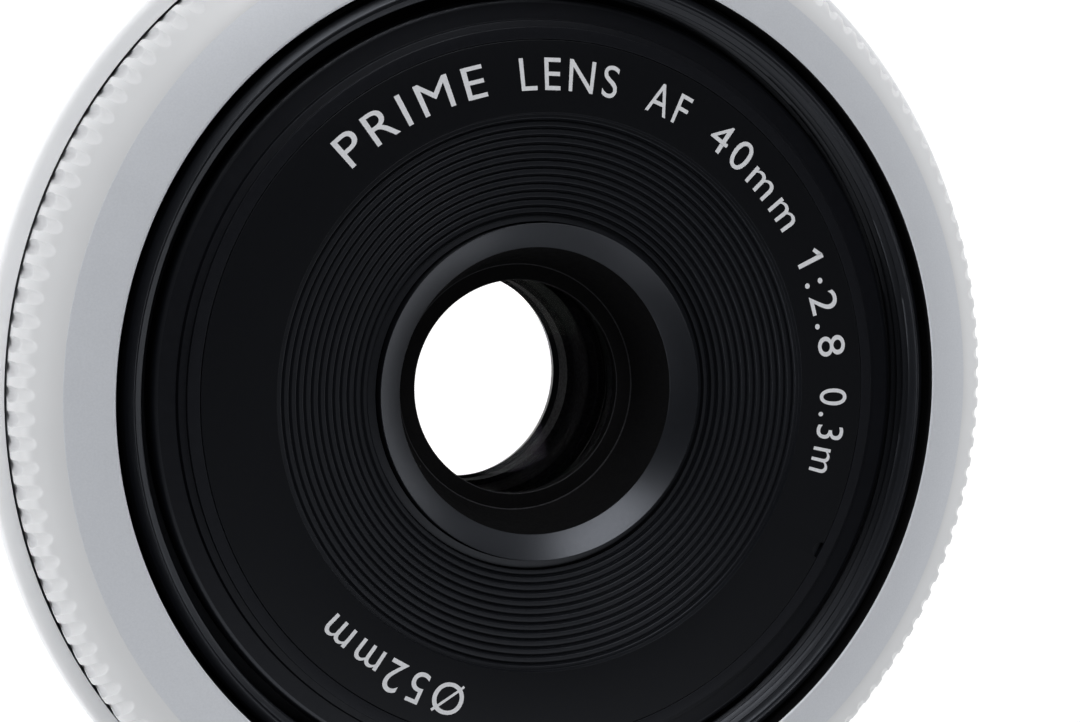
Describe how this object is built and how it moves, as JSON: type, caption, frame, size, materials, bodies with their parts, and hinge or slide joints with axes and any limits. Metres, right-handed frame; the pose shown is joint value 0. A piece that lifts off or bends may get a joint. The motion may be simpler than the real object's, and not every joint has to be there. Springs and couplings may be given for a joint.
{
  "type": "prime camera lens",
  "caption": "Flat prime camera lens with a bayonet mount, a fluted focus ring, a moving front barrel with filter thread, and an iris.",
  "frame": {"origin": "centre of the bayonet's seat face", "axes": "+Z along the optical axis, out of the front of the lens; +Y towards the top of the lens, where the mounting dot is"},
  "size_m": [0.0682, 0.0682, 0.0284],
  "materials": {
    "plated_brass": "fine-turned chrome plate",
    "blackened_steel": "blackened",
    "black_moulding": "matt moulded, fine grain",
    "gold": "gold-plated, polished",
    "film": "polyimide film",
    "white_shell": "satin paint, very fine grain",
    "red_mark": "gloss paint",
    "black_anodised": "satin black anodised",
    "black_satin": "satin black",
    "spring_steel": "brushed",
    "nylon": "natural nylon",
    "felt": "black felt",
    "board": "solder mask",
    "grey_trim": "satin grey paint",
    "coated_glass": "polished, coated",
    "brass": "machined",
    "blade_steel": "matt dry-film black"
  },
  "bodies": {
    "root": {"mount_bayonet": "plated_brass", "mount_screws": "blackened_steel", "rear_baffle": "black_moulding", "contact_block": "black_moulding", "contact_pins": "gold", "contact_screws": "blackened_steel", "contact_flex": "film", "fixed_barrel": "white_shell", "mount_index_dot": "red_mark", "base_plate": "black_moulding", "base_screws": "blackened_steel", "guide_tube": "black_anodised", "cam_retainer": "spring_steel", "focus_motor": "spring_steel", "gear_bracket": "spring_steel", "gear_shafts": "spring_steel", "focus_sleeve": "black_anodised", "slide_washer": "nylon", "snap_ring": "spring_steel", "light_seal": "felt", "photo_interrupters": "black_moulding", "main_board": "board", "board_chips": "black_moulding", "switch_base": "film"},
    "focus_ring": {"focus_ring": "white_shell", "front_trim_ring": "grey_trim", "focus_comb": "black_moulding"},
    "barrel": {"front_barrel": "black_moulding", "barrel_screws": "blackened_steel", "name_ring": "black_satin", "front_retaining_ring": "black_anodised", "front_cell": "black_anodised", "lens_1": "coated_glass", "lens_2": "coated_glass", "lens_3": "coated_glass", "lens_4": "coated_glass", "lens_5": "coated_glass", "lens_6": "coated_glass", "spacer_ring": "black_anodised", "lens_carrier": "black_moulding", "cam_followers": "brass", "rear_cell": "black_anodised", "rear_retaining_ring": "black_anodised", "diaphragm_base": "black_moulding", "diaphragm_cover": "black_moulding", "diaphragm_motor": "spring_steel"},
    "cam": {"cam_ring": "black_anodised"},
    "final_gear": {"final_gear": "brass"},
    "idler": {"idler_gear": "nylon"},
    "motor_pinion": {"motor_pinion": "brass"},
    "iris_ring": {"iris_ring": "black_anodised"},
    "iris_pinion": {"iris_pinion": "brass"},
    "mode_switch": {"mode_switch": "white_shell"},
    "blade_1": {"iris_blade_1": "blade_steel"},
    "blade_2": {"iris_blade_2": "blade_steel"},
    "blade_3": {"iris_blade_3": "blade_steel"},
    "blade_4": {"iris_blade_4": "blade_steel"},
    "blade_5": {"iris_blade_5": "blade_steel"},
    "blade_6": {"iris_blade_6": "blade_steel"},
    "blade_7": {"iris_blade_7": "blade_steel"}
  },
  "joints": [
    {"name": "focus_slide", "type": "slide", "parent": "root", "child": "barrel", "axis": [0, 0, 1], "range_m": [0, 0.0072]},
    {"name": "focus_ring_turn", "type": "hinge", "parent": "root", "child": "focus_ring", "pos_m": [0, 0, 0], "axis": [0, 0, 1], "continuous": true},
    {"name": "cam_turn", "type": "hinge", "parent": "root", "child": "cam", "pos_m": [0, 0, 0], "axis": [0, 0, 1], "range_deg": [-1, 66]},
    {"name": "final_gear_turn", "type": "hinge", "parent": "root", "child": "final_gear", "pos_m": [-0.00478, 0.02708, 0], "axis": [0, 0, 1], "range_deg": [-660, 10]},
    {"name": "idler_turn", "type": "hinge", "parent": "root", "child": "idler", "pos_m": [-0.00998, 0.02563, 0], "axis": [0, 0, 1], "range_deg": [-10, 1320]},
    {"name": "motor_turn", "type": "hinge", "parent": "root", "child": "motor_pinion", "pos_m": [-0.01519, 0.02423, 0], "axis": [0, 0, 1], "range_deg": [-2640, 10]},
    {"name": "iris_ring_turn", "type": "hinge", "parent": "barrel", "child": "iris_ring", "pos_m": [0, 0, 0], "axis": [0, 0, 1], "range_deg": [0, 18]},
    {"name": "iris_motor_turn", "type": "hinge", "parent": "barrel", "child": "iris_pinion", "pos_m": [0.00575, 0.01579, 0], "axis": [0, 0, 1], "range_deg": [-240, 5]},
    {"name": "mode_switch_turn", "type": "hinge", "parent": "root", "child": "mode_switch", "pos_m": [0, 0, 0], "axis": [0, 0, 1], "range_deg": [0, 4.2]},
    {"name": "blade_1_turn", "type": "hinge", "parent": "barrel", "child": "blade_1", "pos_m": [0.0132, 0, 0], "axis": [0, 0, 1], "range_deg": [-0.5, 27.5]},
    {"name": "blade_2_turn", "type": "hinge", "parent": "barrel", "child": "blade_2", "pos_m": [0.00823, 0.01032, 0], "axis": [0, 0, 1], "range_deg": [-0.5, 27.5]},
    {"name": "blade_3_turn", "type": "hinge", "parent": "barrel", "child": "blade_3", "pos_m": [-0.00294, 0.01287, 0], "axis": [0, 0, 1], "range_deg": [-0.5, 27.5]},
    {"name": "blade_4_turn", "type": "hinge", "parent": "barrel", "child": "blade_4", "pos_m": [-0.01189, 0.00573, 0], "axis": [0, 0, 1], "range_deg": [-0.5, 27.5]},
    {"name": "blade_5_turn", "type": "hinge", "parent": "barrel", "child": "blade_5", "pos_m": [-0.01189, -0.00573, 0], "axis": [0, 0, 1], "range_deg": [-0.5, 27.5]},
    {"name": "blade_6_turn", "type": "hinge", "parent": "barrel", "child": "blade_6", "pos_m": [-0.00294, -0.01287, 0], "axis": [0, 0, 1], "range_deg": [-0.5, 27.5]},
    {"name": "blade_7_turn", "type": "hinge", "parent": "barrel", "child": "blade_7", "pos_m": [0.00823, -0.01032, 0], "axis": [0, 0, 1], "range_deg": [-0.5, 27.5]}
  ],
  "couplings": [
    {"joint": "cam_turn", "follows": "focus_slide", "rad_per_m": 157.56},
    {"joint": "final_gear_turn", "follows": "focus_slide", "rad_per_m": -1575.6},
    {"joint": "idler_turn", "follows": "focus_slide", "rad_per_m": 3151.3},
    {"joint": "motor_turn", "follows": "focus_slide", "rad_per_m": -6302.6},
    {"joint": "iris_motor_turn", "follows": "iris_ring_turn", "ratio": -13},
    {"joint": "blade_1_turn", "follows": "iris_ring_turn", "ratio": 1.5},
    {"joint": "blade_2_turn", "follows": "iris_ring_turn", "ratio": 1.5},
    {"joint": "blade_3_turn", "follows": "iris_ring_turn", "ratio": 1.5},
    {"joint": "blade_4_turn", "follows": "iris_ring_turn", "ratio": 1.5},
    {"joint": "blade_5_turn", "follows": "iris_ring_turn", "ratio": 1.5},
    {"joint": "blade_6_turn", "follows": "iris_ring_turn", "ratio": 1.5},
    {"joint": "blade_7_turn", "follows": "iris_ring_turn", "ratio": 1.5}
  ]
}
